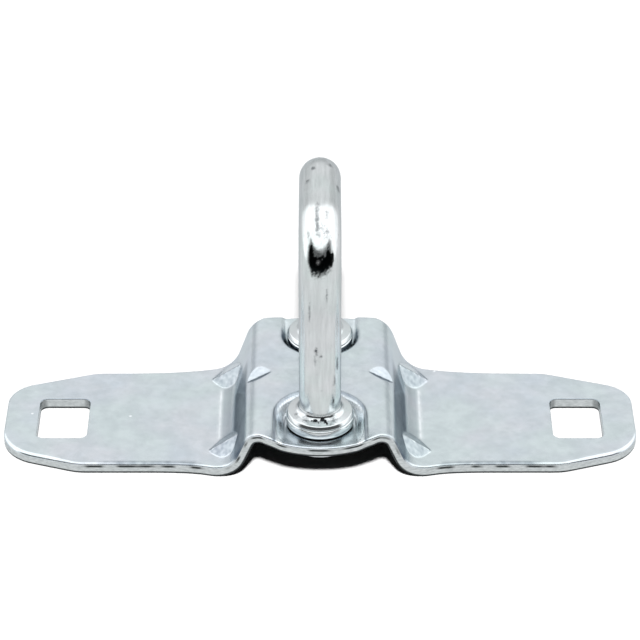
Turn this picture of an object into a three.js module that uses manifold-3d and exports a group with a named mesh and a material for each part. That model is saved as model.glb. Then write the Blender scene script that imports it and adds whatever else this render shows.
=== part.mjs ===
// Roof anchor: a pressed steel plate with two bolt-down wings and a raised hat, and a round
// U-shaped staple standing on the hat. Each leg of the staple passes through a round dimple,
// where a collar and a seat ring hold it from above and its riveted end holds it from below.
//
// Millimetres, +Z up. X runs from wing to wing, and Y from the front leg to the rear leg.
// The origin is the centre of the plate, level with the undersides of the wings.

import * as THREE from 'three';
import { mergeVertices } from 'three/addons/utils/BufferGeometryUtils.js';
import Module from 'manifold-3d';

const wasm = await Module();
wasm.setup();

const clearance = 0.3;            // kept between solids that touch on the real part
const degrees = Math.PI / 180;

// Plate, in plan
const tipX = 77.15;               // centre to the end of a wing
const wingHalfDepth = 19.95;
const hatBulge = 9.15;            // how far the hat stands out beyond the wings, front and rear
const frontSwell = { width: 20.9, power: 2.9 };   // shape of the swell that joins hat and wings
const rearSwell = { width: 21.7, power: 2.0 };
// Narrowing of a wing's end along its front and rear edges: where it starts, how steeply it runs
// in, and the radii of the corner where it starts and of the corner at the tip
const frontTaper = { x: 58.5, angle: 19 * degrees, cornerRadius: 12, tipRadius: 11 };
const rearTaper = { x: 56.0, angle: 18.5 * degrees, cornerRadius: 12, tipRadius: 8.5 };
const slotX = 63.0;               // centre of a bolt slot
const slotCentreY = -0.4;
const slotWidth = 12.4;
const slotDepth = 17.1;
const slotCornerRadius = 1.6;

// Plate, in section
const wingThickness = 2.85;
const hatThickness = 2.5;         // the drawn metal is a little thinner
const hatHeight = 15.64;          // top face of the hat above the undersides of the wings
const hatFlatHalf = 13.15;
const crownRadius = 5.4;          // outer radius between the hat's top and its wall
const rootRadius = 6.3;           // inner radius between the wall and the wing
const wallAngle = 69 * degrees;
const bendSteps = 4;

// Staple and its seats
const barRadius = 5.0;
const legY = 17.8;                // a leg's centre in front of or behind the plate's centre
const staplePeak = 69.3;          // top of the staple
const bendRadius = 10.0;          // centreline radius of the two bends
const dimpleDepth = 2.54;
const frontDimple = { floorRadius: 8.7, rimRadius: 11.2 };
const rearDimple = { floorRadius: 8.8, rimRadius: 10.1 };
const edgeDip = 2.05;             // depth of the shallow arc where a dimple meets the plate's edge
const edgeDipHalf = 14.1;
const seatRingHeight = 2.65;
const rivetRadius = 7.6;
const rivetHeight = 2.8;
const roundSegments = 32;

// Darts pressed across the bends of the right-hand wall, mirrored on the left-hand one: two raised
// gussets from wing to wall near the legs, and one V notch sunk across the crown at mid depth.
// A flank's slope is its fall per millimetre towards the front or the rear.
const darts = [
  {
    foot: { x: 26.8, y: -14.6, z: wingThickness },
    head: { x: 20.6, y: -15.2, z: 7.6 },
    frontSlope: 0.66, rearSlope: 0.4, raised: 1,
  },
  {
    foot: { x: 27.0, y: 16.6, z: wingThickness },
    head: { x: 21.0, y: 15.2, z: 7.6 },
    frontSlope: 0.66, rearSlope: 0.4, raised: 1,
  },
  {
    foot: { x: 17.8, y: 0.0, z: 13.1 },
    head: { x: 11.8, y: 1.1, z: hatHeight },
    frontSlope: 0.46, rearSlope: 0.38, raised: -1,
  },
];

function zinc(color, roughness) {
  return new THREE.MeshStandardMaterial({ color, roughness, metalness: 1.0 });
}

// Turn a closed three.js geometry into a solid for joining and cutting.
function toSolid(geometry) {
  const bare = geometry.index ? geometry.clone() : geometry;
  bare.deleteAttribute('normal');
  bare.deleteAttribute('uv');
  const merged = mergeVertices(bare, 1e-4);
  return new wasm.Manifold(new wasm.Mesh({
    numProp: 3,
    vertProperties: new Float32Array(merged.attributes.position.array),
    triVerts: new Uint32Array(merged.index.array),
  }));
}

function toGeometry(solid) {
  const mesh = solid.getMesh();
  const geometry = new THREE.BufferGeometry();
  geometry.setAttribute('position', new THREE.BufferAttribute(mesh.vertProperties, 3));
  geometry.setIndex(new THREE.BufferAttribute(mesh.triVerts, 1));
  geometry.computeVertexNormals();
  return geometry;
}

// Half the plate's depth at a distance x from its centre, before the wing's end narrows.
function halfDepth(x, swell) {
  return wingHalfDepth + hatBulge * Math.exp(-((Math.abs(x) / swell.width) ** swell.power));
}

// Top face of the hat in section, from the centre outwards: place, outward normal, thickness.
function hatSection() {
  const crownZ = hatHeight - crownRadius;
  const crownEnd = {
    x: hatFlatHalf + crownRadius * Math.sin(wallAngle),
    z: crownZ + crownRadius * Math.cos(wallAngle),
  };
  const rootZ = wingThickness + rootRadius;
  const rootStartZ = rootZ - rootRadius * Math.cos(wallAngle);
  const rootStartX = crownEnd.x + (crownEnd.z - rootStartZ) / Math.tan(wallAngle);
  const rootX = rootStartX + rootRadius * Math.sin(wallAngle);
  const section = [];
  for (const x of [0, 3.2, 4.8, 6.2, 7.5, 8.6, 9.3, rearDimple.rimRadius, frontDimple.rimRadius]) {
    section.push({ x, z: hatHeight, turn: 0, thickness: hatThickness });
  }
  for (let step = 0; step <= bendSteps; step++) {
    const turn = wallAngle * step / bendSteps;
    section.push({
      x: hatFlatHalf + crownRadius * Math.sin(turn),
      z: crownZ + crownRadius * Math.cos(turn),
      turn, thickness: hatThickness,
    });
  }
  for (let step = 0; step <= bendSteps; step++) {
    const turn = wallAngle * (1 - step / bendSteps);
    section.push({
      x: rootX - rootRadius * Math.sin(turn),
      z: rootZ - rootRadius * Math.cos(turn),
      turn,
      thickness: hatThickness + (wingThickness - hatThickness) * step / bendSteps,
    });
  }
  section.push({ x: rootX + 1.5, z: wingThickness, turn: 0, thickness: wingThickness });
  section.push({ x: tipX + 5, z: wingThickness, turn: 0, thickness: wingThickness });
  return section;
}

// How far the dimples sink the hat's top at a point.
function dimpleSink(x, y) {
  const beyondLeg = Math.abs(y) - legY;
  const r = beyondLeg > 0 ? Math.abs(x) : Math.hypot(x, beyondLeg);
  const { floorRadius, rimRadius } = y < 0 ? frontDimple : rearDimple;
  const rise = THREE.MathUtils.smoothstep(r, floorRadius, rimRadius);
  const round = dimpleDepth * (1 - rise);
  if (beyondLeg <= 0) return round;
  const towardsEdge = Math.min(1, beyondLeg / (wingHalfDepth + hatBulge - legY)) ** 1.4;
  const arc = edgeDip * Math.cos(Math.min(Math.abs(x) / edgeDipHalf, 1) * Math.PI / 2);
  return round + (arc - round) * towardsEdge;
}

// How far the pressed darts lift the face (gussets) or sink it (notches).
function dartLift(x, z, y) {
  let lift = 0;
  for (const { foot, head, frontSlope, rearSlope, raised } of darts) {
    const along = (foot.x - Math.abs(x)) / (foot.x - head.x);
    if (along <= 0 || along >= 1) continue;
    const rise = foot.z + (head.z - foot.z) * along - z;
    const across = y - foot.y - (head.y - foot.y) * along;
    const flank = across < 0 ? -frontSlope * across : rearSlope * across;
    lift += raised * Math.max(0, raised * rise - flank);
  }
  return lift;
}

// The pressed sheet before its outline is sheared: a closed grid of top and bottom faces.
function pressedSheet() {
  const right = hatSection();
  const left = right.slice(1).reverse().map((p) => ({ ...p, x: -p.x, turn: -p.turn }));
  const columns = [...left, ...right];
  const near = [0, 1.2, 2.6, 4.6, 6.1, 7.4, 8.8, 10.2, 11.6, 13.2, 15.0, 16.2, 17.6, 19.4,
    22.5, 25.2, 27.2, 31];
  const rows = [...near.slice(1).reverse().map((y) => -y), ...near];
  const positions = [];
  for (const face of [0, 1]) {
    for (const p of columns) {
      for (const y of rows) {
        const drop = face * p.thickness;
        const lift = dartLift(p.x, p.z, y) - dimpleSink(p.x, y);
        positions.push(p.x - drop * Math.sin(p.turn), y, p.z - drop * Math.cos(p.turn) + lift);
      }
    }
  }
  const deep = rows.length;
  const underside = columns.length * deep;
  const triangles = [];
  const quad = (a, b, c, d) => triangles.push(a, b, c, a, c, d);
  for (let i = 0; i < columns.length - 1; i++) {
    for (let j = 0; j < deep - 1; j++) {
      const a = i * deep + j;
      const b = a + deep;
      quad(a, b, b + 1, a + 1);
      quad(underside + a, underside + a + 1, underside + b + 1, underside + b);
    }
    const front = i * deep;
    const rear = front + deep - 1;
    quad(front, underside + front, underside + front + deep, front + deep);
    quad(rear, rear + deep, underside + rear + deep, underside + rear);
  }
  const last = underside - deep;
  for (let j = 0; j < deep - 1; j++) {
    quad(j, j + 1, underside + j + 1, underside + j);
    quad(last + j, underside + last + j, underside + last + j + 1, last + j + 1);
  }
  const geometry = new THREE.BufferGeometry();
  geometry.setAttribute('position', new THREE.Float32BufferAttribute(positions, 3));
  geometry.setIndex(triangles);
  return geometry;
}

// Points of a closed polygon with its corners rounded.
function roundedPolygon(corners, steps = 6) {
  const points = [];
  corners.forEach((corner, i) => {
    const here = new THREE.Vector2(corner.x, corner.y);
    if (!corner.radius) {
      points.push(here);
      return;
    }
    const before = corners.at(i - 1);
    const after = corners[(i + 1) % corners.length];
    const back = new THREE.Vector2(before.x, before.y).sub(here).normalize();
    const ahead = new THREE.Vector2(after.x, after.y).sub(here).normalize();
    const half = Math.acos(back.dot(ahead)) / 2;
    const centre = back.clone().add(ahead).normalize()
      .multiplyScalar(corner.radius / Math.sin(half)).add(here);
    const tangent = corner.radius / Math.tan(half);
    const from = here.clone().addScaledVector(back, tangent).sub(centre);
    const to = here.clone().addScaledVector(ahead, tangent).sub(centre);
    const sweep = Math.atan2(from.cross(to), from.dot(to));
    for (let step = 0; step <= steps; step++) {
      points.push(from.clone().rotateAround(new THREE.Vector2(), sweep * step / steps).add(centre));
    }
  });
  return points;
}

function plateOutline() {
  const flareFrom = 48;
  const flareStep = 4;
  const corners = [];
  const wingEnd = (end, side, taper) => [
    { x: end * taper.x, y: side * wingHalfDepth, radius: taper.cornerRadius },
    {
      x: end * tipX,
      y: side * (wingHalfDepth - (tipX - taper.x) * Math.tan(taper.angle)),
      radius: taper.tipRadius,
    },
  ];
  corners.push(...wingEnd(-1, -1, frontTaper).reverse());
  for (let x = -flareFrom; x <= flareFrom; x += flareStep) {
    corners.push({ x, y: -halfDepth(x, frontSwell) });
  }
  corners.push(...wingEnd(1, -1, frontTaper));
  corners.push(...wingEnd(1, 1, rearTaper).reverse());
  for (let x = flareFrom; x >= -flareFrom; x -= flareStep) {
    corners.push({ x, y: halfDepth(x, rearSwell) });
  }
  corners.push(...wingEnd(-1, 1, rearTaper));
  return roundedPolygon(corners);
}

function slotOutline(centreX) {
  const halfWidth = slotWidth / 2;
  const halfSlotDepth = slotDepth / 2;
  const turns = [[-1, -1], [-1, 1], [1, 1], [1, -1]];
  return roundedPolygon(turns.map(([sx, sy]) => ({
    x: centreX + sx * halfWidth,
    y: slotCentreY + sy * halfSlotDepth,
    radius: slotCornerRadius,
  })), 4);
}

// Everything inside the sheared outline, less the two slots and the two leg holes.
function shearedBlank() {
  const shape = new THREE.Shape(plateOutline());
  for (const side of [-1, 1]) {
    shape.holes.push(new THREE.Path(slotOutline(side * slotX)));
    const legHole = new THREE.Path();
    legHole.absarc(0, side * legY, barRadius + clearance, 0, Math.PI * 2, true);
    shape.holes.push(legHole);
  }
  const blank = new THREE.ExtrudeGeometry(shape, {
    depth: 30, bevelEnabled: false, curveSegments: roundSegments / 2,
  });
  return blank.translate(0, 0, -5);
}

function basePlate() {
  const plate = toSolid(pressedSheet()).intersect(toSolid(shearedBlank()));
  return new THREE.Mesh(toGeometry(plate), zinc(0xc4cbd2, 0.32));
}

// A round bar through a list of stations in the YZ plane: centre, direction and radius.
function roundBar(stations) {
  const positions = [];
  const triangles = [];
  for (const s of stations) {
    const across = new THREE.Vector3(0, -Math.sin(s.heading), Math.cos(s.heading));
    for (let k = 0; k < roundSegments; k++) {
      const angle = k / roundSegments * Math.PI * 2;
      const outX = Math.cos(angle) * s.radius;
      const outA = Math.sin(angle) * s.radius;
      positions.push(outX, s.y + across.y * outA, s.z + across.z * outA);
    }
  }
  const startCentre = positions.length / 3;
  positions.push(0, stations[0].y, stations[0].z);
  positions.push(0, stations.at(-1).y, stations.at(-1).z);
  for (let k = 0; k < roundSegments; k++) {
    const next = (k + 1) % roundSegments;
    for (let i = 0; i < stations.length - 1; i++) {
      const a = i * roundSegments;
      const b = a + roundSegments;
      triangles.push(a + k, b + next, a + next, a + k, b + k, b + next);
    }
    const end = (stations.length - 1) * roundSegments;
    triangles.push(startCentre, k, next, startCentre + 1, end + next, end + k);
  }
  const geometry = new THREE.BufferGeometry();
  geometry.setAttribute('position', new THREE.Float32BufferAttribute(positions, 3));
  geometry.setIndex(triangles);
  geometry.computeVertexNormals();
  return geometry;
}

function stapleBar() {
  const bendZ = staplePeak - barRadius - bendRadius;
  const bendY = legY - bendRadius;
  const rivetTop = hatHeight - dimpleDepth - hatThickness - clearance;
  const rivetBottom = rivetTop - rivetHeight;
  const up = Math.PI / 2;
  const half = [
    { y: legY, z: rivetBottom, heading: up, radius: rivetRadius - 1.6 },
    { y: legY, z: rivetBottom + 0.9, heading: up, radius: rivetRadius },
    { y: legY, z: rivetTop, heading: up, radius: rivetRadius },
    { y: legY, z: rivetTop, heading: up, radius: barRadius },
  ];
  const steps = 10;
  for (let step = 0; step <= steps; step++) {
    const turn = up * step / steps;
    half.push({
      y: bendY + bendRadius * Math.cos(turn),
      z: bendZ + bendRadius * Math.sin(turn),
      heading: up + turn,
      radius: barRadius,
    });
  }
  const other = half.toReversed().map((s) => ({ ...s, y: -s.y, heading: 4 * up - s.heading }));
  return new THREE.Mesh(roundBar([...half, ...other]), zinc(0xd6d8da, 0.22));
}

// A ring about +Z from a closed section of [radius, height] points.
function turnedRing(section) {
  const points = [...section, section[0]].map(([r, z]) => new THREE.Vector2(r, z));
  return new THREE.LatheGeometry(points, roundSegments).rotateX(Math.PI / 2);
}

// Barrel-shaped: a little narrower where it stands and where it ends.
function seatRing() {
  const inner = barRadius + clearance;
  return turnedRing([
    [inner, 0], [7.5, 0], [7.9, 0.35], [8.05, 1.1], [8.0, 1.8], [7.5, seatRingHeight],
    [inner, seatRingHeight],
  ]);
}

// The upset head: a rounded rim, a nearly flat top and a fillet that rises beside the bar.
function collar() {
  const inner = barRadius + clearance;
  return turnedRing([
    [inner, 0], [7.6, 0], [8.0, 0.3], [7.7, 0.9], [7.0, 1.25], [6.3, 1.35], [5.6, 1.8],
    [inner, 2.5],
  ]);
}

const anchor = new THREE.Group();

function place(name, mesh, y = 0, z = 0) {
  mesh.name = name;
  mesh.position.set(0, y, z);
  anchor.add(mesh);
}

place('base_plate', basePlate());
place('staple_bar', stapleBar());

const seatZ = hatHeight - dimpleDepth + clearance;
const collarZ = seatZ + seatRingHeight + clearance;
for (const [end, side] of [['front', -1], ['rear', 1]]) {
  place(`${end}_seat_ring`, new THREE.Mesh(seatRing(), zinc(0xbfc2c6, 0.3)), side * legY, seatZ);
  place(`${end}_collar`, new THREE.Mesh(collar(), zinc(0xcdd0d3, 0.25)), side * legY, collarZ);
}

export default anchor;
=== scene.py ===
"""Roof anchor: a zinc-plated pressed plate that carries a round U-shaped staple.

Sizes are in millimetres until a mesh is made, and a mesh is in metres. +Z is up, X runs from wing
to wing, and Y from the front leg of the staple to the rear leg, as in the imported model.
"""
import math
from collections import namedtuple

import bpy
import numpy as np
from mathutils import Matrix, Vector, noise
from mathutils.geometry import delaunay_2d_cdt


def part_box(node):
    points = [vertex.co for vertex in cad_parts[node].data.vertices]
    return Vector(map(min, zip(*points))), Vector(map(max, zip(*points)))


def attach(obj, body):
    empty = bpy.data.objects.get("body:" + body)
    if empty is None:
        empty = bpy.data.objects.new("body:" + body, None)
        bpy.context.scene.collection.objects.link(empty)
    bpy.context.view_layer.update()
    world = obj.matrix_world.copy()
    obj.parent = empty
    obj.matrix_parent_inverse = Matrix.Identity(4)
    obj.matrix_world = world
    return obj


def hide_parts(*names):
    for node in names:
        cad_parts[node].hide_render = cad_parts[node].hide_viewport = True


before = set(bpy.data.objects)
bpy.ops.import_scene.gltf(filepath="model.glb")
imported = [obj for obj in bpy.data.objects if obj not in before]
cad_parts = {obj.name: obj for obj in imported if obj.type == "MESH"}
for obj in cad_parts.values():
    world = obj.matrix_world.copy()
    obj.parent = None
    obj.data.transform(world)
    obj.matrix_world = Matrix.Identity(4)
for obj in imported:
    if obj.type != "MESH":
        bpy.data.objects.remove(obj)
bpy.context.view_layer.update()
MM = 0.001
TAU = 2 * math.pi

FRONT, REAR = -1, 1
LEFT, RIGHT = -1, 1
RAISED, SUNK = 1, -1


def box_in_mm(node):
    """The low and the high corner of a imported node's box."""
    return [np.array(corner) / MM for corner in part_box(node)]


# Plate in plan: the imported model's box, then the shape inside it
_, (TIP_X, PLATE_HALF_DEPTH, HAT_HEIGHT) = box_in_mm("base_plate")
WING_HALF_DEPTH = 19.95
HAT_BULGE = PLATE_HALF_DEPTH - WING_HALF_DEPTH
SWELL = {FRONT: (20.9, 2.9), REAR: (21.7, 2.0)}  # width and steepness of the swell to the hat
TAPER = {FRONT: (58.5, math.radians(19)), REAR: (56.0, math.radians(18.5))}    # start and angle
TIP_RADIUS = {FRONT: 11.0, REAR: 8.5}
TAPER_CORNER_RADIUS = 12.0
SLOT_X = 63.0
SLOT_CENTRE_Y = -0.4
SLOT_HALF = (6.2, 8.55)
SLOT_CORNER_RADIUS = 1.9

# Plate in section
WING_THICKNESS = 2.85
HAT_THICKNESS = 2.5
HAT_FLAT_HALF = 13.15
CROWN_RADIUS = 5.4                               # between the hat's top and its wall
ROOT_RADIUS = 6.3                                # between the wall and the wing
WALL_ANGLE = math.radians(69)
BEND_BLEND = 1.2                                 # length over which a bend's curvature sets in
EDGE_ROLL = 0.55                                 # radius rolled over by the shear on the top face
CORNER_ROLL = 1.0                                # the same at the front corners of the wings
SLOT_ROLL = 0.25
LEG_HOLE_ROLL = 0.1
ROLL_DROP = 0.8                                  # depth of a roll against its width
EDGE_BURR = 0.3                                  # rounding of the bottom edge

# Staple and dimples
(_, _, STAPLE_FOOT), (_, _, STAPLE_PEAK) = box_in_mm("staple_bar")
BAR_RADIUS = 5.0
LEG_Y = 17.8
BEND_RADIUS = 10.0
BEND_Y = LEG_Y - BEND_RADIUS                     # centre of a bend
BEND_Z = STAPLE_PEAK - BAR_RADIUS - BEND_RADIUS
RIVET_RADIUS = 7.6
RIVET_ROUND = (2.2, 1.4)                         # width and height of the rounding beneath it
FIT = 0.05                                       # the rings grip the bar, and its holes clear it
RING_BORE = BAR_RADIUS - FIT
SEAT_RING_TOP = 2.8                              # above the dimple's floor
DIMPLE_DEPTH = 2.54
DIMPLE = {FRONT: (8.6, 11.2), REAR: (8.5, 9.5)}  # radii of floor and rim
EDGE_DIP = 2.05                                  # depth of the arc where a dimple meets the edge
EDGE_DIP_HALF = 14.1
EDGE_DIP_POWER = 1.4                             # how late the round dimple turns into that arc

# Darts pressed across the bends of the right-hand side and mirrored on the left. A slope is the
# fall of the flank towards the front, or of the one towards the rear.
Dart = namedtuple("Dart", "foot head front_slope rear_slope sign")
DARTS = [
    Dart((26.8, -14.6, WING_THICKNESS), (20.6, -15.2, 7.6), 0.66, 0.40, RAISED),
    Dart((27.0, 16.6, WING_THICKNESS), (21.0, 15.2, 7.6), 0.66, 0.40, RAISED),
    Dart((17.8, 0.0, 13.1), (11.8, 1.1, HAT_HEIGHT), 0.46, 0.38, SUNK),
]
RIDGE_ROUND = 0.1
DART_BLEND = 0.16                                # rounding where a flank runs out into the face

# Where painted shade and highlight lie on the plating, from the plate's centre outwards (X) or
# front to rear (Y)
WALL_TONE_X = (17.6, 17.9)                       # start, and end where the wall is pale
WALL_TONE_REACH = 3.3                            # how much further it goes where the wall is dark
ROOT_TONE_X = (21.2, 24.3)
BETWEEN_DARTS_Y = (-10.5, 12.5)
CROWN_LINE_X, ROOT_LINE_X = 16.3, 24.6
# painted shade over the roll's highlight along a wing's front edge, between these X
DIMMED_ROLL_X = (27.0, 54.0)
DASHES_END_X, DASHES_JOIN_X = 57.5, 42.0         # where they stop, and where they run together
LIP_HALF = 4.6                                   # bare lip in front of a dimple, as far as this X
# radii of the painted dark line and the painted highlight line across that lip
PAINTED_LINE_RADII = (8.8, 9.75)                      # the dark and the pale line across that lip

# Spacing of the plate's points
OUTLINE_STEP = 0.55
SLOT_STEP = 0.4
WING_STEP = 1.25
HAT_STEP = 0.5
DART_STEP = 0.32
EDGE_GAP = 0.33                                  # between the outlines and the points inside

# An outline of the plate, unrolled, with the width of the roll along its top edge
Rim = namedtuple("Rim", "loop roll is_slot")


# ---------------------------------------------------------------- small helpers

def grain(points, size, seed=0.0):
    """Smooth noise from about -1 to 1, with features of the given size."""
    return np.array([noise.noise(Vector((x / size, y / size, z / size + seed)))
                     for x, y, z in points])


def smooth_step(t):
    """0 below 0 and 1 above 1, with an even, rounded climb between them."""
    t = np.clip(t, 0.0, 1.0)
    return t * t * (3 - 2 * t)


def rise(value, start, width):
    """0 until value passes start, then up to 1 over width."""
    return smooth_step((value - start) / width)


def fall(value, end, width):
    """1 until value comes within width of end, then down to 0 at end."""
    return smooth_step((end - value) / width)


def line_mask(value, centre, half_width):
    """1 where value is at centre, fading to nothing about two half widths away."""
    return np.exp(-((value - centre) / half_width) ** 2)


def soft_positive(value, width):
    """max(value, 0) with its corner rounded over about width."""
    return 0.5 * (value + np.sqrt(value * value + width * width))


def unit(v):
    """The same directions with length 1."""
    return v / np.maximum(np.linalg.norm(v, axis=-1, keepdims=True), 1e-12)


def new_mesh_piece(name, points, faces, material, replaces):
    """A finished piece: mesh in metres, smooth shaded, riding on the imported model's one body."""
    mesh = bpy.data.meshes.new(name)
    mesh.from_pydata((np.asarray(points) * MM).tolist(), [], [list(map(int, f)) for f in faces])
    mesh.validate()
    mesh.polygons.foreach_set("use_smooth", [True] * len(mesh.polygons))
    mesh.materials.append(material)
    mesh.update()
    piece = bpy.data.objects.new(name, mesh)
    bpy.context.scene.collection.objects.link(piece)
    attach(piece, "root")
    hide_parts(replaces)
    return piece


def add_attribute(piece, name, values):
    """Give each point of a piece a number that its material can read."""
    attribute = piece.data.attributes.new(name, "FLOAT", "POINT")
    attribute.data.foreach_set("value", np.asarray(values, np.float32))


# ---------------------------------------------------------------- pressed plate: surface

class HatProfile:
    """The plate's top face in section, by arc length s from the centre outwards."""

    def __init__(self):
        step, rounds = 0.02, 4
        wall, wing = 6.6, 70.0           # lengths: a first guess of the wall's, and past the tip
        for _ in range(rounds):          # find the wall's length that brings the wing to its level
            corners = np.cumsum([0, HAT_FLAT_HALF, CROWN_RADIUS * WALL_ANGLE, wall,
                                 ROOT_RADIUS * WALL_ANGLE, wing])
            s = np.arange(0, corners[-1], step)
            turn = np.interp(s, corners, [0, 0, WALL_ANGLE, WALL_ANGLE, 0, 0])
            kernel = np.ones(int(BEND_BLEND / step)) / int(BEND_BLEND / step)
            turn = np.convolve(np.pad(turn, len(kernel), mode="edge"), kernel, mode="same")
            turn = turn[len(kernel):-len(kernel)]
            drop = np.sum(np.sin(turn)) * step
            wall += (HAT_HEIGHT - WING_THICKNESS - drop) / math.sin(WALL_ANGLE)
        self.s, self.turn = s, turn
        self.x = np.concatenate([[0], np.cumsum(np.cos(turn))[:-1]]) * step
        self.z = HAT_HEIGHT - np.concatenate([[0], np.cumsum(np.sin(turn))[:-1]]) * step
        outer = rise(s, corners[3], corners[4] - corners[3])
        self.thickness = HAT_THICKNESS + (WING_THICKNESS - HAT_THICKNESS) * outer

    def s_at(self, x):
        """Signed arc length at x."""
        return np.sign(x) * np.interp(np.abs(x), self.x, self.s)

    def height_at(self, x):
        """Height of the plain top face at x."""
        return np.interp(np.abs(x), self.x, self.z)

    def at(self, s):
        """x, z, turn and thickness at signed arc length s."""
        side, length = np.sign(s), np.abs(s)
        return (side * np.interp(length, self.s, self.x), np.interp(length, self.s, self.z),
                side * np.interp(length, self.s, self.turn),
                np.interp(length, self.s, self.thickness))


profile = HatProfile()


def half_depth(x, side):
    """Half the plate's depth at x, on the front or the rear side."""
    width, power = SWELL[side]
    return WING_HALF_DEPTH + HAT_BULGE * np.exp(-(np.abs(x) / width) ** power)


def dimple_radii(y):
    """Radii of floor and rim of the dimple nearest to each depth."""
    return (np.where(y < 0, DIMPLE[FRONT][k], DIMPLE[REAR][k]) for k in (0, 1))


def dimple_sink(x, y):
    """How far the dimples sink the hat's top: round a leg, and then open to the plate's edge."""
    beyond = np.abs(y) - LEG_Y
    r = np.where(beyond > 0, np.abs(x), np.hypot(x, beyond))
    floor, rim = dimple_radii(y)
    circle = DIMPLE_DEPTH * (1 - rise(r, floor, rim - floor))
    to_edge = np.clip(beyond / (PLATE_HALF_DEPTH - LEG_Y), 0, 1) ** EDGE_DIP_POWER
    arc = EDGE_DIP * np.cos(np.clip(np.abs(x) / EDGE_DIP_HALF, 0, 1) * math.pi / 2)
    return circle + (arc - circle) * to_edge


def dart_place(dart, x, y):
    """Share of the way from a dart's foot to its head, and distance across its ridge."""
    along = (dart.foot[0] - x) / (dart.foot[0] - dart.head[0])
    return along, y - (dart.foot[1] + (dart.head[1] - dart.foot[1]) * along)


def dart_shape(dart, x, y, z):
    """Height by which one dart departs from the face at height z, before its sign."""
    along, across = dart_place(dart, x, y)
    ridge = dart.sign * (dart.foot[2] + (dart.head[2] - dart.foot[2]) * along - z)
    flank = np.where(across < 0, -dart.front_slope * across, dart.rear_slope * across)
    rounded = np.hypot(flank, RIDGE_ROUND) - RIDGE_ROUND
    return np.where((along > -0.5) & (along < 1.5), ridge - rounded, -1e3)


def dart_lift(x, y, z):
    """Lift of the raised darts less the sink of the sunk ones."""
    side = np.abs(x)
    return sum(dart.sign * soft_positive(dart_shape(dart, side, y, z), DART_BLEND)
               for dart in DARTS)


def plate_faces(s, y):
    """Points of the top and of the bottom face at arc length s and depth y."""
    x, z, turn, thickness = profile.at(s)
    lift = dart_lift(x, y, z) - dimple_sink(x, y)
    top = np.stack([x, y, z + lift], -1)
    through = np.stack([np.sin(turn), np.zeros_like(x), np.cos(turn)], -1)
    return top, top - through * thickness[:, None]


def dimple_painted_light(x, y, patchy):
    """Painted light round a dimple: a painted dark reflection along its rim, a painted highlight on
    its cone, a painted dark line and a painted pale line across the lip in front, and painted shade
    near the ring.
    """
    floor, rim = dimple_radii(y)
    beyond = np.abs(y) - LEG_Y
    radius = np.hypot(x, np.minimum(beyond, 0))
    near_leg = beyond > -12
    rim_line = line_mask(radius, rim - 0.35, 0.45) * near_leg * (0.85 + 0.15 * patchy)
    rim_line = rim_line * fall(y, 22.5, 3.0)
    cone = rise(radius, floor + 0.2, 0.5) * fall(radius, rim - 0.75, 0.3) * near_leg
    reach = np.hypot(x, beyond)
    lip = fall(x, LIP_HALF, 1.5) * (beyond > 0)
    dark, pale = PAINTED_LINE_RADII
    # A painted dark line and a painted highlight line across the lip in front of a dimple.
    painted_lines = line_mask(reach, dark, 0.4) - 0.5 * line_mask(reach, pale, 0.25)
    shade = line_mask(reach, 8.9, 0.75) * (1 - lip) * (0.8 + 0.4 * patchy)
    return 1.05 * cone - 0.95 * rim_line + painted_lines * lip - 0.6 * shade


def dart_painted_light(dart, x, y, section, patchy):
    """How much of a point lies on a dart, and the colour painted there: painted shade on its front
    flank and painted light on its rear one, with painted dark lines along a raised dart's ridge and
    outline.
    """
    shape = dart_shape(dart, x, y, section)
    _, across = dart_place(dart, x, y)
    if dart.sign == RAISED:
        near_side, far_side = 0.52 + 0.26 * patchy, 1.35 + 0.2 * patchy
        ridge, outline = line_mask(across, 0.4, 0.28), line_mask(shape, 0.15, 0.17)
        far_side = far_side - 0.9 * ridge - 0.7 * outline
    else:
        near_side, far_side = 0.08 + 0.1 * patchy, 0.78 + 0.2 * patchy
    return smooth_step(shape / 0.15 + 0.5), np.where(across < 0, near_side, far_side)


def bend_painted_light(x, y, patchy):
    """Painted shade on the wall between hat and wing and on its grey root, a painted dark line
    along the crown bend and a painted highlight along the root bend.
    """
    darkness = fall(y, 13.5, 9.0) * (1 - 0.12 * fall(y, -13, 4.0))
    start, end = WALL_TONE_X
    wall = rise(x, start, 0.7) * fall(x, end + WALL_TONE_REACH * darkness, 0.6)
    wall *= 0.95 + 0.1 * rise(x, 18.8, 0.8)
    front, rear = BETWEEN_DARTS_Y
    between_darts = fall(y, rear, 1.5) * rise(y, front, 1.5)
    root = rise(x, ROOT_TONE_X[0], 0.6) * fall(x, ROOT_TONE_X[1], 0.6) * between_darts
    notch = line_mask(y, 0.5, 1.2)
    crown_line = line_mask(x + 0.25 * patchy, CROWN_LINE_X, 0.5) * (1 - notch)
    root_line = line_mask(x + 0.15 * patchy, ROOT_LINE_X, 0.3) * between_darts
    return 0.95 * root_line - 0.25 * crown_line - 0.3 * root - wall * darkness


def dimmed_roll_highlight(x, y):
    """The strip along a wing's front edge where painted shade dims the roll's highlight."""
    strip = rise(np.abs(y), half_depth(x, FRONT) - 1.0, 0.3)
    return rise(x, DIMMED_ROLL_X[0], 4) * fall(x, DIMMED_ROLL_X[1], 3) * strip * (y < 0)


def plate_tone(top):
    """Colour of the top face with painted shade and highlight: 1 is plain, 0 the darkest painted
    shade, 2 the brightest painted highlight.
    """
    x, y = np.abs(top[:, 0]), top[:, 1]
    patchy = grain(top, 1.6)
    tone = 1 + bend_painted_light(x, y, patchy) + dimple_painted_light(x, y, patchy)
    section = profile.height_at(x)
    for dart in DARTS:
        share, colour = dart_painted_light(dart, x, y, section, grain(top, 0.8, 2.0))
        tone += share * (colour - tone)
    # Painted shade that dims the roll's highlight along the wings' front edges.
    tone -= dimmed_roll_highlight(x, y) * (0.5 + 0.4 * patchy)
    return tone + 0.05 * grain(top, 2.6, 4.0) + 0.04 * grain(top, 1.1, 6.0)


# ---------------------------------------------------------------- pressed plate: outline

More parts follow.
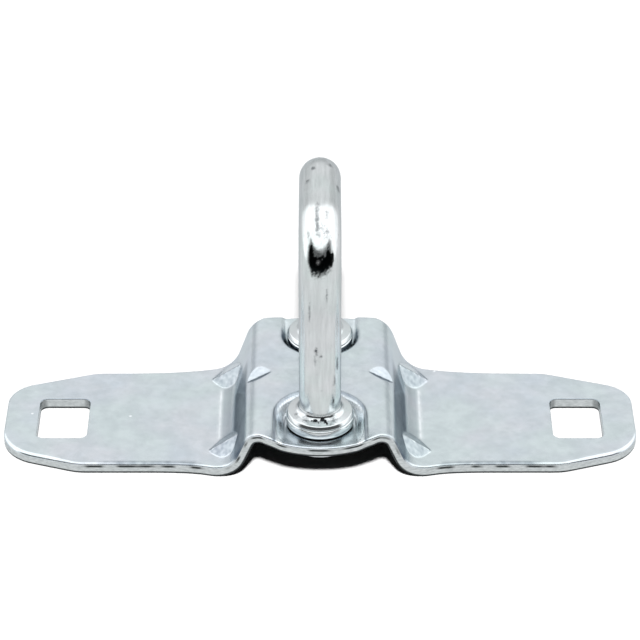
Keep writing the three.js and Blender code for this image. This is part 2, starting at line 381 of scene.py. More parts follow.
def rounded_polygon(corners, step=0.45):
    """Closed outline through (x, y, corner radius) with each corner an arc."""
    points = []
    count = len(corners)
    for i, (x, y, radius) in enumerate(corners):
        here = np.array([x, y])
        if radius == 0:
            points.append(here)
            continue
        back = unit(np.array(corners[i - 1][:2]) - here)
        ahead = unit(np.array(corners[(i + 1) % count][:2]) - here)
        half = math.acos(np.clip(back @ ahead, -1, 1)) / 2
        centre = here + unit(back + ahead) * radius / math.sin(half)
        start = here + back * radius / math.tan(half) - centre
        end = here + ahead * radius / math.tan(half) - centre
        sweep = math.atan2(start[0] * end[1] - start[1] * end[0], start @ end)
        pieces = max(3, math.ceil(abs(sweep) * radius / step))
        for k in range(pieces + 1):
            c, s = math.cos(sweep * k / pieces), math.sin(sweep * k / pieces)
            points.append(centre + np.array([c * start[0] - s * start[1],
                                             s * start[0] + c * start[1]]))
    return np.array(points)


def resampled(loop, step):
    """The same closed outline with its points evenly spaced."""
    closed = np.vstack([loop, loop[:1]])
    length = np.concatenate([[0], np.cumsum(np.linalg.norm(np.diff(closed, axis=0), axis=1))])
    count = int(length[-1] / step)
    at = np.arange(count) * length[-1] / count
    return np.stack([np.interp(at, length, closed[:, k]) for k in (0, 1)], -1)


def wing_end(end, side):
    """The two corners of one wing's end, on its front or its rear side: taper, then tip."""
    taper_x, angle = TAPER[side]
    tip_y = WING_HALF_DEPTH - (TIP_X - taper_x) * math.tan(angle)
    return [(end * taper_x, side * WING_HALF_DEPTH, TAPER_CORNER_RADIUS),
            (end * TIP_X, side * tip_y, TIP_RADIUS[side])]


def plate_outline():
    """The plate's outline, unrolled: arc length and depth."""
    swell = np.linspace(-48, 48, 97)
    corners = wing_end(LEFT, FRONT)[::-1]
    corners += [(x, -half_depth(x, FRONT), 0) for x in swell]
    corners += wing_end(RIGHT, FRONT) + wing_end(RIGHT, REAR)[::-1]
    corners += [(x, half_depth(x, REAR), 0) for x in swell[::-1]]
    corners += wing_end(LEFT, REAR)
    outline = rounded_polygon(corners)
    outline[:, 0] = profile.s_at(outline[:, 0])
    return resampled(outline, OUTLINE_STEP)


def slot_outline(side):
    """One bolt slot, unrolled, clockwise so that the metal lies on its left."""
    half_x, half_y = SLOT_HALF
    centre = profile.s_at(side * SLOT_X)
    corners = [(centre + sx * half_x, SLOT_CENTRE_Y + sy * half_y, SLOT_CORNER_RADIUS)
               for sx, sy in ((-1, -1), (-1, 1), (1, 1), (1, -1))]
    return resampled(rounded_polygon(corners, 0.3), SLOT_STEP)


def leg_hole(side):
    """The hole for one leg, clockwise too."""
    angle = -np.arange(48) / 48 * TAU
    return np.stack([np.cos(angle), np.sin(angle)], -1) * (BAR_RADIUS + FIT) + [0, side * LEG_Y]


def plate_rims():
    """Every outline of the plate, with the width of the roll along its top edge."""
    outline = plate_outline()
    corner = rise(np.abs(outline[:, :1]), profile.s_at(57.0), 9.0) * fall(outline[:, 1:], -4.0, 7.0)
    rims = [Rim(outline, EDGE_ROLL + (CORNER_ROLL - EDGE_ROLL) * corner, False)]
    for make, roll, is_slot in ((slot_outline, SLOT_ROLL, True), (leg_hole, LEG_HOLE_ROLL, False)):
        for side in (-1, 1):
            loop = make(side)
            rims.append(Rim(loop, np.full((len(loop), 1), roll), is_slot))
    return rims


def inward(loop):
    """Unit normals towards the metal, which lies on the left of the direction of travel."""
    along = unit(np.roll(loop, -1, 0) - np.roll(loop, 1, 0))
    return np.stack([-along[:, 1], along[:, 0]], -1)


def inside(points, loop):
    """Whether each point lies inside a closed outline."""
    x, y = points[:, 0:1], points[:, 1:2]
    x1, y1 = loop[:, 0], loop[:, 1]
    x2, y2 = np.roll(x1, -1), np.roll(y1, -1)
    crosses = (y1 > y) != (y2 > y)
    at = x1 + (y - y1) * (x2 - x1) / np.where(y2 == y1, 1e-9, y2 - y1)
    return (np.sum(crosses & (x < at), axis=1) % 2) == 1


def clear_of(points, loop, distance):
    """Whether each point is at least distance from every point of an outline."""
    keep = np.ones(len(points), bool)
    for start in range(0, len(points), 2000):
        part = points[start:start + 2000]
        gap = np.linalg.norm(part[:, None] - loop[None], axis=2).min(1)
        keep[start:start + 2000] = gap > distance
    return keep


def grid(low, high, step):
    """Evenly spaced points over a rectangle."""
    a = np.arange(low[0], high[0], step)
    b = np.arange(low[1], high[1], step)
    return np.stack(np.meshgrid(a, b, indexing="ij"), -1).reshape(-1, 2)


def outside_areas(points, areas):
    """The points that lie in none of the (s, y, half length, half depth, step) areas."""
    for s, y, half_s, half_y, _ in areas:
        within = (np.abs(points[:, 0] - s) < half_s) & (np.abs(points[:, 1] - y) < half_y)
        points = points[~within]
    return points


def sample_points():
    """Interior points: coarse on the wings, fine on the hat, finest on dimples and darts."""
    areas = []
    for dart in DARTS:
        foot_s, head_s = profile.s_at(dart.foot[0]), profile.s_at(dart.head[0])
        middle = float(profile.s_at((dart.foot[0] + dart.head[0]) / 2))
        half = 0.5 * float(foot_s - head_s) + 0.7
        areas += [(sx * middle, (dart.foot[1] + dart.head[1]) / 2, half, 4.4, DART_STEP)
                  for sx in (LEFT, RIGHT)]
    areas += [(0.0, side * LEG_Y, 14.6, 13.2, HAT_STEP) for side in (FRONT, REAR)]
    taken = []
    for i, (s, y, half_s, half_y, step) in enumerate(areas):
        low = (s - half_s + step / 2, y - half_y + step / 2)
        taken.append(outside_areas(grid(low, (s + half_s, y + half_y), step), areas[:i]))
    hat_half = float(profile.s_at(29.0))
    reach = float(profile.s_at(TIP_X))
    hat = outside_areas(grid((-hat_half, -31.0), (hat_half, 31.0), HAT_STEP), areas)
    wings = grid((-reach, -21.0), (reach, 21.0), WING_STEP)
    wings = wings[np.abs(wings[:, 0]) > hat_half + 0.6]
    return np.vstack(taken + [hat, wings])


# ---------------------------------------------------------------- pressed plate: mesh

def on_metal(points, loops):
    """Whether each point lies inside the first outline and outside the others."""
    keep = inside(points, loops[0])
    for hole in loops[1:]:
        keep &= ~inside(points, hole)
    return keep


def filled(loops):
    """Points and triangles that fill the metal between the outlines, outlines first."""
    points = sample_points()
    points = points[on_metal(points, loops)]
    for loop in loops:
        points = points[clear_of(points, loop, EDGE_GAP)]
    flat = np.vstack(loops + [points])
    edges, start = [], 0
    for loop in loops:
        n = len(loop)
        edges += [(start + k, start + (k + 1) % n) for k in range(n)]
        start += n
    made = delaunay_2d_cdt([Vector(p) for p in flat.tolist()], edges, [], 0, 1e-6, True)
    order = [origin[0] for origin in made[3]]
    triangles = np.array([[order[i] for i in face] for face in made[2]])
    triangles = triangles[on_metal(flat[triangles].mean(1), loops)]
    a, b, c = (flat[triangles[:, k]] for k in range(3))
    ab, ac = b - a, c - a
    clockwise = ab[:, 0] * ac[:, 1] - ab[:, 1] * ac[:, 0] < 0
    triangles[clockwise] = triangles[clockwise][:, ::-1]
    return flat, triangles


def slot_corner(loop):
    """1 in the four corners of a bolt slot, where its sheared side is drawn darker."""
    beyond_x = np.abs(np.abs(loop[:, 0]) - profile.s_at(SLOT_X)) - SLOT_HALF[0]
    beyond_y = np.abs(loop[:, 1] - SLOT_CENTRE_Y) - SLOT_HALF[1]
    return rise(beyond_x, -SLOT_CORNER_RADIUS, 0.8) * rise(beyond_y, -SLOT_CORNER_RADIUS, 0.8)


def dash_mask(loop):
    """Dark dashes along the top of the sheared side, nearly solid towards the ends of the wings."""
    out = np.abs(loop[:, 0])
    solid = rise(out, profile.s_at(DASHES_JOIN_X), 6.0)
    broken = grain(np.c_[loop, np.zeros(len(loop))], 3.5, 7.0) * 2.2 + 0.3
    return smooth_step(broken + solid) * fall(out, profile.s_at(DASHES_END_X), 2.0)


def edge_rings(rim):
    """The rings down an edge: (face, distance in, depth, mark).

    Depth is in mm from the face, or on the side a share of the way down it. The mark is 0 on
    plating, 1 on the sheared side and 2 where that is black: the dark dashes near its top, and
    painted contact shadow along the bottom edge."""
    burr = np.minimum(EDGE_BURR, rim.roll)
    rings = [("top", rim.roll * (1 - math.cos(turn)), rim.roll * (1 - math.sin(turn)), 0.0)
             for turn in np.radians([72, 54, 36, 18, 0])]
    dashed = 1.0 + 0.95 * dash_mask(rim.loop)
    darker_corner = 1.0 + 0.5 * slot_corner(rim.loop) if rim.is_slot else 1.0
    # Down the side: dull, the dark dashes near its top, darker in a slot's corners, painted contact
    # shadow near its foot.
    rings += [("side", 0.0, depth, np.maximum(mark, darker_corner))
              for depth, mark in ((0.03, 1.0), (0.09, dashed), (0.31, dashed), (0.39, 1.0),
                                  (0.65, 1.0), (0.84, 1.0), (0.9, 1.9))]
    # The burr below, drawn black as painted contact shadow.
    rings += [("bottom", burr * (1 - math.cos(turn)), burr * (1 - math.sin(turn)), 2.0)
              for turn in np.radians([0, 45, 90])]
    return rings


def ring_points(rim, face, distance, depth):
    """One ring of points down an edge, and the points of the top face above it."""
    at = rim.loop + inward(rim.loop) * distance
    top, bottom = plate_faces(at[:, 0], at[:, 1])
    down = unit(bottom - top)
    if face == "top":
        return top + down * depth * ROLL_DROP, top
    if face == "bottom":
        return bottom - down * depth, top
    rolled, burr = rim.roll * ROLL_DROP, np.minimum(EDGE_BURR, rim.roll)
    thick = np.linalg.norm(bottom - top, axis=1, keepdims=True)
    return top + down * (rolled + depth * (thick - rolled - burr)), top


def build_plate(material):
    """The two faces of the sheet, and a rolled, sheared and burred edge round every outline."""
    rims = plate_rims()
    flat, triangles = filled([rim.loop + inward(rim.loop) * rim.roll for rim in rims])
    count = len(flat)
    upper, lower = plate_faces(flat[:, 0], flat[:, 1])
    vertices = [upper, lower]
    sheared_and_contact_shade = [np.zeros(2 * count)]
    tone = [plate_tone(upper), np.ones(count)]
    faces = triangles.tolist() + (triangles[:, ::-1] + count).tolist()
    start, total = 0, 2 * count
    for rim in rims:
        n = len(rim.loop)
        ids = [np.arange(start, start + n)]
        for face, distance, depth, mark in edge_rings(rim):
            points, top = ring_points(rim, face, distance, depth)
            colour = plate_tone(top) if face == "top" else np.ones(n)
            # Painted shade along the rear top edge of a bolt slot.
            if rim.is_slot:
                colour = colour - 0.55 * rise(top[:, 1], 6.0, 1.5)
            vertices.append(points)
            sheared_and_contact_shade.append(np.broadcast_to(mark, n))
            tone.append(colour)
            ids.append(np.arange(total, total + n))
            total += n
        ids.append(ids[0] + count)
        for one, two in zip(ids[:-1], ids[1:]):
            faces += np.stack([one, two, np.roll(two, -1), np.roll(one, -1)], -1).tolist()
        start += n
    piece = new_mesh_piece("pressed_plate", np.vstack(vertices), faces, material,
                           "base_plate")
    add_attribute(piece, "sheared_and_contact_shade", np.concatenate(sheared_and_contact_shade))
    add_attribute(piece, "tone", np.concatenate(tone))


# ---------------------------------------------------------------- staple and rings

# Marks of handling: centre (x, y, z), half length, half width and strength. Soft grey rubs, and
# black scratches where the zinc is gone.
RUBS = [
    ((-1.7, 6.9, 69.2), 1.2, 0.6, 0.9), ((-3.0, 1.6, 68.3), 0.9, 0.7, 0.8),
    ((2.4, 8.8, 68.7), 0.9, 0.7, 0.8), ((4.3, 0.6, 66.9), 1.4, 0.6, 1.0),
    ((-0.7, -12.0, 68.7), 2.4, 0.55, 0.9), ((-0.7, -14.6, 67.7), 2.4, 0.6, 1.0),
    ((-0.6, -16.6, 66.5), 2.2, 0.55, 1.05), ((-2.8, -17.6, 65.4), 1.2, 0.5, 0.9),
    ((1.0, 17.2, 67.9), 1.3, 0.6, 0.8), ((2.6, 21.9, 40.0), 1.8, 0.4, 0.8),
    ((-3.6, 20.8, 52.0), 1.1, 0.4, 0.8), ((-0.9, -22.7, 36.6), 1.2, 0.45, 1.0),
    ((0.3, -22.8, 35.2), 0.6, 0.45, 0.9), ((-1.2, -22.6, 34.0), 1.6, 0.35, 0.7),
    ((4.0, -20.7, 31.9), 2.2, 0.35, 1.0), ((3.4, -21.4, 27.6), 1.8, 0.3, 0.9),
    ((3.1, -21.6, 21.9), 1.8, 0.4, 1.0), ((-2.4, -22.1, 47.0), 3.0, 0.3, 0.7),
    ((1.6, -22.5, 51.5), 2.4, 0.3, 0.7), ((-1.4, 14.6, 68.9), 1.6, 0.4, 0.7),
    ((-3.2, -22.7, 17.2), 1.6, 1.3, 0.7), ((3.3, -22.6, 17.2), 1.6, 1.2, 0.7),
    ((0.2, -23.5, 16.9), 1.1, 2.8, 0.75), ((-5.6, -20.4, 17.2), 1.2, 0.8, 0.6),
    ((0.8, -17.4, 65.9), 2.6, 2.4, 0.5), ((1.6, -13.5, 68.2), 2.0, 0.5, 0.6),
]
SCRATCHES = [
    ((3.2, -21.5, 21.9), 0.8, 0.22, 0.8), ((-0.9, -22.7, 36.6), 0.5, 0.25, 0.7),
    ((-1.1, -23.4, 17.5), 0.5, 0.6, 1.2), ((-0.4, -23.9, 16.9), 0.7, 0.3, 1.0),
    ((0.6, -23.3, 17.7), 0.6, 0.6, 1.2), ((1.2, -23.6, 17.2), 0.7, 0.35, 1.3),
    ((1.6, -24.1, 16.9), 0.8, 0.3, 1.2), ((-2.0, -23.4, 17.2), 0.5, 0.3, 1.0),
]
# raised grain of zinc, whose glint is also painted white
SPECK = (-0.45, -21.9, 60.2)                     # a raised grain of zinc below the scratches


def mark_mask(marks, points):
    """How strongly each point is marked, from 0 to 1 and a little more."""
    mask = np.zeros(len(points))
    for (x, y, z), long, wide, strength in marks:
        across = (points[:, 0] - x) / wide
        along = np.hypot(points[:, 1] - y, points[:, 2] - z) / long
        mask = np.maximum(mask, strength * np.exp(-(across ** 2 + along ** 2) ** 1.2))
    return mask


def painted_dark_reflection(points):
    """Painted black reflection on the front bend: horned at the top and fading out below."""
    x, y, z = points.T
    round_bend = np.degrees(np.arctan2(z - BEND_Z, -BEND_Y - y)) + 4.5 * grain(points, 0.5, 8.0)
    horns = 11 * line_mask(x, -2.0, 0.55) + 8 * line_mask(x, 1.9, 0.45) + 5 * line_mask(x, 3.1, 0.5)
    below = 12 + 0.9 * (x + 0.3) ** 2
    patch = fall(round_bend, 28.5 + horns, 2.5) * rise(round_bend, below - 9.0, 14.0)
    sides = rise(x, -2.85, 0.7) * fall(x, 3.6, 0.8)
    return 1.1 * patch * sides * (y < -12)


def zinc_speck(points):
    """1 on the raised grain of zinc."""
    return np.exp(-(np.linalg.norm(points - SPECK, axis=1) / 0.5) ** 4)


def staple_path():
    """Centre (y, z), heading and radius from the front foot over the top to the rear foot."""
    rivet_top = HAT_HEIGHT - DIMPLE_DEPTH - HAT_THICKNESS
    round_wide, round_high = RIVET_ROUND
    foot_radius = RIVET_RADIUS - round_wide
    up = math.pi / 2
    path = [(LEG_Y, STAPLE_FOOT, up, 0.01), (LEG_Y, STAPLE_FOOT, up, foot_radius)]
    path += [(LEG_Y, STAPLE_FOOT + round_high * (1 - math.cos(t)), up,
              foot_radius + round_wide * math.sin(t)) for t in np.radians([15, 30, 50, 70, 90])]
    path += [(LEG_Y, rivet_top - 0.25, up, RIVET_RADIUS),
             (LEG_Y, rivet_top, up, RIVET_RADIUS - 0.25), (LEG_Y, rivet_top, up, BAR_RADIUS)]
    path += [(LEG_Y, z, up, BAR_RADIUS) for z in np.arange(rivet_top + 0.4, BEND_Z, 0.4)]
    path += [(BEND_Y + BEND_RADIUS * math.cos(t), BEND_Z + BEND_RADIUS * math.sin(t), up + t,
              BAR_RADIUS) for t in np.radians(np.arange(0, 91, 1.5))]
    path += [(y, BEND_Z + BEND_RADIUS, math.pi, BAR_RADIUS)
             for y in np.arange(BEND_Y - 0.4, 0.01, -0.4)]
    front_half = [(-y, z, TAU - heading, r) for y, z, heading, r in path]
    return front_half[:-1] + path[::-1]


def swept_bar(path, angle):
    """Points round the staple's path, their outward directions and how far along they lie."""
    points, outward, lengths, length = [], [], [], 0.0
    for i, (y, z, heading, radius) in enumerate(path):
        if i:
            length += math.hypot(y - path[i - 1][0], z - path[i - 1][1])
        out = np.stack([np.cos(angle), -math.sin(heading) * np.sin(angle),
                        math.cos(heading) * np.sin(angle)], -1)
        points.append(out * radius + [0, y, z])
        outward.append(out)
        lengths.append(np.full(len(angle), length))
    return np.vstack(points), np.vstack(outward), np.concatenate(lengths)


def bar_faces(rings, around):
    """Quads from ring to ring, and a cap at each end."""
    faces = []
    for a in range(0, (rings - 1) * around, around):
        b = a + around
        faces += [[a + k, a + (k + 1) % around, b + (k + 1) % around, b + k]
                  for k in range(around)]
    last = (rings - 1) * around
    return faces + [list(range(around))[::-1], list(range(last, last + around))]


def build_staple(material):
    """A round bar through both legs, swept ring by ring, with its riveted ends."""
    around = 120
    angle = np.arange(around) / around * TAU
    path = staple_path()
    points, outward, lengths = swept_bar(path, angle)
    speck = zinc_speck(points)
    scratched = mark_mask(SCRATCHES, points)
    # Painted black reflection on the front bend, left clear at the speck.
    dark_reflection = painted_dark_reflection(points) * (1 - speck)
    rubbed = mark_mask(RUBS, points)
    battered = line_mask(points[:, 2], 64.0, 2.6) * (points[:, 1] < -15)
    dents = grain(points, 0.9) * 0.05 * battered + grain(points, 0.6, 3.0) * 0.04 * scratched
    dents = -np.abs(dents) - 0.006 * np.abs(grain(points, 2.2, 5.0))
    points += outward * (dents + 0.08 * speck)[:, None]
    points[:, 2] = np.clip(points[:, 2], STAPLE_FOOT, STAPLE_PEAK)
    piece = new_mesh_piece("round_staple", points, bar_faces(len(path), around),
                           material, "staple_bar")
    add_attribute(piece, "scratch_and_contact_shade", scratched)
    add_attribute(piece, "rub", rubbed)
    add_attribute(piece, "dark_reflection", dark_reflection)
    add_attribute(piece, "speck", speck)
    drawn = np.stack([outward[:, 0] * BAR_RADIUS, np.tile(np.sin(angle), len(path)) * BAR_RADIUS,
                      lengths * 0.12], -1) * MM
    attribute = piece.data.attributes.new("drawn", "FLOAT_VECTOR", "POINT")
    attribute.data.foreach_set("vector", drawn.astype(np.float32).ravel())


def build_ring(name, node, section, material):
    """A closed section of (radius, height, darkness) turned round a leg; the darkness is painted
    contact shadow.
    """
    around = 128
    low, high = box_in_mm(node)
    centre_y = (low[1] + high[1]) / 2
    angle = np.arange(around) / around * TAU
    section = np.array([(*p, 0.0)[:3] for p in section])
    radius, height, dark = section.T
    points = np.stack([np.outer(np.cos(angle), radius), np.outer(np.sin(angle), radius) + centre_y,
                       np.tile(height, (around, 1))], -1).reshape(-1, 3)
    n = len(section)
    faces = []
    for k in range(around):
        m = (k + 1) % around
        for j in range(n):
            i = (j + 1) % n
            faces.append([k * n + j, m * n + j, m * n + i, k * n + i])
    piece = new_mesh_piece(name, points, faces, material, node)
    scratched = mark_mask(SCRATCHES, points)
    add_attribute(piece, "scratch_and_contact_shade", np.maximum(scratched, np.tile(dark, around)))
    add_attribute(piece, "rub", mark_mask(RUBS, points))


def arc(centre, radius, start, end, steps):
    """Points of an arc in a section; angles in degrees from the outward direction."""
    return [(centre[0] + radius * math.cos(a), centre[1] + radius * math.sin(a))
            for a in np.radians(np.linspace(start, end, steps + 1))]


def seat_ring_section(floor):
    """A barrel above a groove painted black as contact shadow, where it was pressed into the
    dimple.
    """
    section = [(RING_BORE, floor), (7.2, floor, 1.0), (7.85, floor + 0.02, 1.0),
               (7.92, floor + 0.6, 1.0), (7.98, floor + 0.68)]
    section += arc((3.1, floor + 1.45), 5.0, -7, 12, 8)
    section += arc((7.6, floor + 2.4), 0.36, 20, 80, 4)
    section += [(RING_BORE, floor + SEAT_RING_TOP - 0.04)]
    return section


def collar_section(floor):
    """The upset head: a bevelled rim, a nearly flat top and a fillet up to the bar."""
    low = floor + SEAT_RING_TOP
    section = [(RING_BORE, low), (7.7, low)]
    section += arc((7.87, low + 0.32), 0.2, -60, 24, 4)
    section += arc((7.38, low + 0.84), 0.36, 24, 80, 8)
    section += [(6.7, low + 1.36)]
    section += arc((6.4, low + 2.8), 1.35, 264, 184, 10)
    section += [(RING_BORE, low + 2.85)]
    return section


# ---------------------------------------------------------------- materials

class Nodes:
    """A node tree of a material or of the world, with short names for the nodes used here."""

    def __init__(self, owner):
        owner.use_nodes = True
        self.tree = owner.node_tree
        self.place = None

    def node(self, kind, **settings):
        """A new node with its settings."""
        made = self.tree.nodes.new(kind)
        for key, value in settings.items():
            setattr(made, key, value)
        return made

    def link(self, source, target):
        """Join an output to an input."""
        self.tree.links.new(source, target)

    def position(self):
        """Where a point lies on its piece, in metres."""
        if self.place is None:
            self.place = self.node("ShaderNodeTexCoord").outputs["Object"]
        return self.place

    def stretched(self, scale, source=None):
        """A place scaled along each axis."""
        mapping = self.node("ShaderNodeMapping")
        mapping.inputs["Scale"].default_value = scale
        self.link(source or self.position(), mapping.inputs["Vector"])
        return mapping.outputs["Vector"]

    def noise(self, scale, detail=4.0, rough=0.55, stretch=(1, 1, 1), source=None):
        """Noise from 0 to 1, mostly near 0.5."""
        made = self.node("ShaderNodeTexNoise")
        made.inputs["Scale"].default_value = scale
        made.inputs["Detail"].default_value = detail
        made.inputs["Roughness"].default_value = rough
        self.link(self.stretched(stretch, source), made.inputs["Vector"])
        return made.outputs["Fac"]

    def span(self, value, low, high, to_low=0.0, to_high=1.0, kind="LINEAR"):
        """A value from low to high brought to the span from to_low to to_high."""
        made = self.node("ShaderNodeMapRange", interpolation_type=kind)
        made.inputs["From Min"].default_value = low
        made.inputs["From Max"].default_value = high
        made.inputs["To Min"].default_value = to_low
        made.inputs["To Max"].default_value = to_high
        self.link(value, made.inputs["Value"])
        return made.outputs["Result"]

    def step(self, value, low, high):
        """0 at low and 1 at high, rounded at both."""
        return self.span(value, low, high, kind="SMOOTHSTEP")

    def math(self, operation, *terms):
        """A sum on numbers and outputs."""
        made = self.node("ShaderNodeMath", operation=operation)
        for socket, value in zip(made.inputs, terms):
            if isinstance(value, (int, float)):
                socket.default_value = value
            else:
                self.link(value, socket)
        return made.outputs["Value"]

    def dimmed(self, light, mask, share):
        """A light less a share of itself where the mask is 1."""
        return self.math("MULTIPLY", light,
                         self.math("SUBTRACT", 1.0, self.math("MULTIPLY", mask, share)))

    def mix(self, factor, a, b):
        """Colour a where the factor is 0 and b where it is 1."""
        made = self.node("ShaderNodeMix", data_type="RGBA")
        self.link(factor, made.inputs["Factor"])
        for socket, value in ((made.inputs["A"], a), (made.inputs["B"], b)):
            if isinstance(value, tuple):
                socket.default_value = (*value, 1.0)
            else:
                self.link(value, socket)
        return made.outputs["Result"]

    def red_of(self, colour):
        """The red part of a colour."""
        split = self.node("ShaderNodeSeparateColor")
        self.link(colour, split.inputs["Color"])
        return split.outputs["Red"]

    def attribute(self, name, output="Fac"):
        """What a piece's points say under this name."""
        return self.node("ShaderNodeAttribute", attribute_name=name).outputs[output]

    def ragged(self, name, grain, spread, reach):
        """An attribute with its edges broken up by a grain that lies within spread of 0.5."""
        broken = self.span(grain, 0.5 - spread, 0.5 + spread, -reach, reach)
        return self.math("ADD", self.attribute(name), broken)

    def bump(self, height, distance):
        """A normal roughened by a height."""
        made = self.node("ShaderNodeBump")
        made.inputs["Distance"].default_value = distance
        self.link(height, made.inputs["Height"])
        return made.outputs["Normal"]


def metal(name, edge_tint):
    """A material, its node tree and its shader, set to bare metal with this glancing colour."""
    material = bpy.data.materials.new(name)
    nodes = Nodes(material)
    shader = nodes.tree.nodes["Principled BSDF"]
    shader.inputs["Metallic"].default_value = 1.0
    shader.inputs["Specular Tint"].default_value = (*edge_tint, 1.0)
    return material, nodes, shader


def bright_specks(n):
    """Sparse pale dots, where the zinc grew in coarse grains."""
    cells = n.node("ShaderNodeTexVoronoi")
    cells.inputs["Scale"].default_value = 130
    n.link(n.position(), cells.inputs["Vector"])
    dot = n.step(cells.outputs["Distance"], 0.055, 0.035)
    few = n.step(n.red_of(cells.outputs["Color"]), 0.62, 0.64)
    return n.math("MULTIPLY", dot, few)


def plate_material():
    """Bright zinc: pale silver-blue with soft cloudy tints, painted shade and highlight from the
    tone, duller where the sheet was sheared, black as painted contact shadow along the bottom
    edges.
    """
    material, n, shader = metal("plate_zinc", (0.75, 0.78, 0.8))
    clouds = n.span(n.noise(75, 3), 0.35, 0.65)
    tint = n.span(n.noise(48, 2, stretch=(1.0, 1.3, 1.0)), 0.42, 0.62)
    blue, lilac, green = (0.60, 0.65, 0.70), (0.65, 0.67, 0.705), (0.615, 0.68, 0.69)
    colour = n.mix(tint, n.mix(clouds, blue, lilac), green)

    # The tone carries painted shade (dark slate blue below 1) and painted highlight (near white
    # above 1).
    tone = n.attribute("tone")
    colour = n.mix(n.span(tone, 0.0, 1.0, 1.0, 0.0), colour, (0.03, 0.055, 0.09))
    colour = n.mix(n.span(tone, 1.0, 2.0, 0.0, 1.0), colour, (0.93, 0.96, 0.98))
    blotches = n.span(n.noise(230, 5, 0.65), 0.36, 0.64, 0.0, 0.34)
    colour = n.mix(blotches, colour, (0.40, 0.45, 0.47))
    colour = n.mix(bright_specks(n), colour, (0.85, 0.88, 0.9))

    sheared_and_contact_shade = n.attribute("sheared_and_contact_shade")
    grit = n.noise(1500, 4, 0.6, stretch=(0.5, 1.0, 1.6))
    dull = n.mix(n.span(grit, 0.35, 0.65), (0.47, 0.50, 0.50), (0.66, 0.69, 0.69))
    colour = n.mix(n.span(sheared_and_contact_shade, 0.0, 1.0), colour, dull)
    # Black at mark 2: the dark dashes, and painted contact shadow along the bottom edges.
    colour = n.mix(n.span(sheared_and_contact_shade, 1.0, 2.0), colour, (0.03, 0.035, 0.035))
    n.link(colour, shader.inputs["Base Color"])

    mottle = n.noise(900, 5, 0.6)
    rough = n.math("ADD", n.span(mottle, 0.3, 0.7, -0.02, 0.04), n.span(clouds, 0, 1, 0.17, 0.23))
    n.link(n.math("ADD", rough, n.span(sheared_and_contact_shade, 0.0, 1.0, 0.0, 0.12)), shader.inputs["Roughness"])
    n.link(n.bump(mottle, 0.00002), shader.inputs["Normal"])
    return material


def drawn_zinc(n, colour, mottle):
    """Adds draw lines, the painted black reflection on the front bend and the speck to a colour,
    and the lines' relief.
    """
    streaks = n.noise(1300, 3, 0.6, source=n.attribute("drawn", "Vector"))
    colour = n.mix(n.span(streaks, 0.36, 0.64, 0.0, 0.34), colour, (0.40, 0.42, 0.42))
    # The painted black reflection on the front bend, with a ragged edge.
    ragged_reflection = n.ragged("dark_reflection", n.noise(1700, 6, 0.75), 0.22, 0.3)
    colour = n.mix(n.step(ragged_reflection, 0.12, 0.95), colour, (0.006, 0.008, 0.008))
    # The speck is drawn white: a raised grain with a painted glint.
    colour = n.mix(n.attribute("speck"), colour, (1.0, 1.0, 1.0))
    return colour, n.math("ADD", n.math("MULTIPLY", streaks, 1.4), mottle)


def bar_material(name, base, roughness, drawn=False):
    """Duller zinc with grey rubs, black where it is scratched and where contact shadow is painted;
    drawn is for the staple's bar.
    """
    material, n, shader = metal(name, (0.62, 0.64, 0.65))
    clouds = n.span(n.noise(110, 4), 0.35, 0.65)
    pale = tuple(c * 1.06 for c in base)
    green = (base[0] * 0.96, base[1] * 1.03, base[2])
    colour = n.mix(clouds, n.mix(n.span(n.noise(60, 2), 0.4, 0.6), base, green), pale)
    mottle = n.noise(1100, 5, 0.6)
    height = mottle
    if drawn:
        colour, height = drawn_zinc(n, colour, mottle)
    rubbed = n.step(n.ragged("rub", n.noise(1300, 5, 0.75), 0.22, 0.5), 0.1, 1.1)
    colour = n.mix(n.math("MULTIPLY", rubbed, 0.85), colour, (0.13, 0.14, 0.145))
    # Black for scratches, and for painted contact shadow under a seat ring.
    scratched = n.step(n.ragged("scratch_and_contact_shade", n.noise(1500, 5, 0.7), 0.25, 0.45), 0.36, 0.66)
    colour = n.mix(scratched, colour, (0.012, 0.014, 0.015))
    n.link(colour, shader.inputs["Base Color"])
    rough = n.math("ADD", n.span(mottle, 0.3, 0.7, -0.02, 0.04),
                   n.span(clouds, 0, 1, roughness, roughness + 0.05))
    n.link(rough, shader.inputs["Roughness"])
    n.link(n.bump(height, 0.000012), shader.inputs["Normal"])
    return material


# ---------------------------------------------------------------- camera, light and floor

def make_camera():
    """A long lens, straight on to the front and looking down at the plate."""
    elevation = math.radians(32)
    distance = 0.732
    aim = Vector((0, 0, 0.031))
    forward = Vector((0, math.cos(elevation), -math.sin(elevation)))
    camera = bpy.data.objects.new("camera", bpy.data.cameras.new("camera"))
    bpy.context.scene.collection.objects.link(camera)
    camera.data.lens = 171
    camera.data.sensor_width = 36
    camera.location = aim - forward * distance
    camera.rotation_euler = forward.to_track_quat("-Z", "Y").to_euler()
    bpy.context.scene.camera = camera


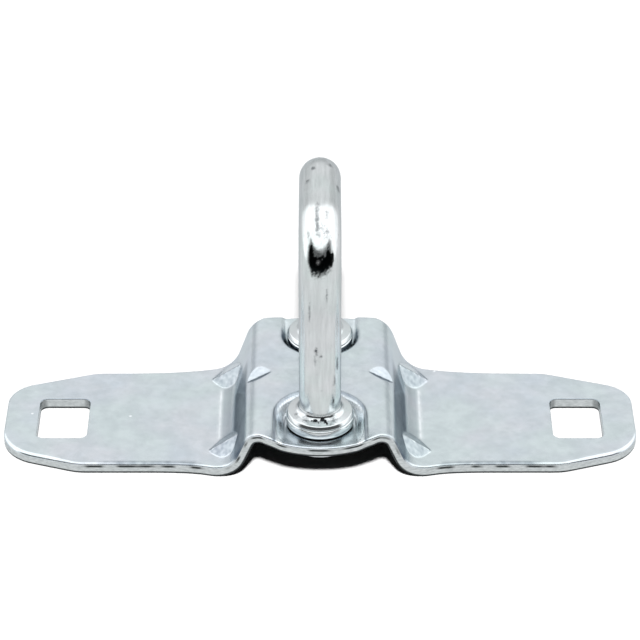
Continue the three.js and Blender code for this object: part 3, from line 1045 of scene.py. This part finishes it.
def make_world():
    """A white tent, brightest overhead, with a dark opening at the front and a greyer horizon."""
    world = bpy.data.worlds.new("studio")
    bpy.context.scene.world = world
    n = Nodes(world)
    background = n.tree.nodes["Background"]
    split = n.node("ShaderNodeSeparateXYZ")
    n.link(n.node("ShaderNodeTexCoord").outputs["Generated"], split.inputs["Vector"])
    x, y, z = split.outputs
    level = n.math("SQRT", n.math("ADD", n.math("MULTIPLY", x, x), n.math("MULTIPLY", y, y)))
    back = n.math("DIVIDE", y, n.math("ADD", level, 0.001))
    overhead = n.step(n.math("SUBTRACT", y, n.math("MULTIPLY", n.math("ABSOLUTE", x), 0.3)),
                      0.62, 0.48)
    horizon = n.math("MULTIPLY", n.step(back, -0.1, 0.7), n.step(z, 0.40, 0.12))
    opening = n.math("MULTIPLY", n.step(back, -0.15, -0.45), n.step(z, 0.64, 0.58))
    light = n.math("ADD", 1.07, n.math("MULTIPLY", overhead, 0.75))
    light = n.dimmed(light, horizon, 0.20)
    light = n.dimmed(light, opening, 0.94)
    ray = n.node("ShaderNodeLightPath").outputs      # the floor is left to the key light
    scattered = n.math("MINIMUM", ray["Diffuse Depth"], 1.0)
    light = n.dimmed(light, scattered, 0.985)
    light = n.math("MAXIMUM", light, n.math("MULTIPLY", ray["Is Camera Ray"], 1.2))
    n.link(light, background.inputs["Strength"])
    background.inputs["Color"].default_value = (0.975, 0.99, 1.0, 1.0)


def make_light():
    """The key light that whitens the floor: from the front, a little above the camera."""
    elevation = 47
    light = bpy.data.objects.new("key", bpy.data.lights.new("key", "SUN"))
    light.data.angle = math.radians(4)
    light.data.energy = 5.0
    light.rotation_euler = (math.radians(90 - elevation), 0, 0)
    light.visible_glossy = False
    bpy.context.scene.collection.objects.link(light)


def make_floor():
    """White paper that reads a little greyer in the metal than it does to the eye."""
    mesh = bpy.data.meshes.new("floor")
    half = 6.0
    corners = [(-half, -half, 0), (half, -half, 0), (half, half, 0), (-half, half, 0)]
    mesh.from_pydata(corners, [], [(0, 1, 2, 3)])
    floor = bpy.data.objects.new("floor", mesh)
    bpy.context.scene.collection.objects.link(floor)
    material = bpy.data.materials.new("floor_white")
    n = Nodes(material)
    shader = n.tree.nodes["Principled BSDF"]
    ray = n.node("ShaderNodeLightPath").outputs
    scattered = n.math("MINIMUM", ray["Diffuse Depth"], 1.0)
    mirrored = n.mix(scattered, (0.80, 0.81, 0.82), (0.03, 0.03, 0.03))
    n.link(n.mix(ray["Is Camera Ray"], mirrored, (0.95, 0.95, 0.95)), shader.inputs["Base Color"])
    shader.inputs["Roughness"].default_value = 0.9
    shader.inputs["Specular IOR Level"].default_value = 0.0
    mesh.materials.append(material)


# ---------------------------------------------------------------- the anchor

make_camera()
make_world()
make_light()
make_floor()
bpy.context.scene.view_settings.view_transform = "Standard"

plate_zinc = plate_material()
bar_zinc = bar_material("bar_zinc", (0.65, 0.665, 0.67), 0.15, drawn=True)
ring_zinc = bar_material("ring_zinc", (0.58, 0.60, 0.61), 0.13)

build_plate(plate_zinc)
build_staple(bar_zinc)
dimple_floor = HAT_HEIGHT - DIMPLE_DEPTH
for end in ("front", "rear"):
    build_ring(f"{end}_turned_seat", f"{end}_seat_ring", seat_ring_section(dimple_floor),
               ring_zinc)
    build_ring(f"{end}_upset_collar", f"{end}_collar", collar_section(dimple_floor),
               ring_zinc)
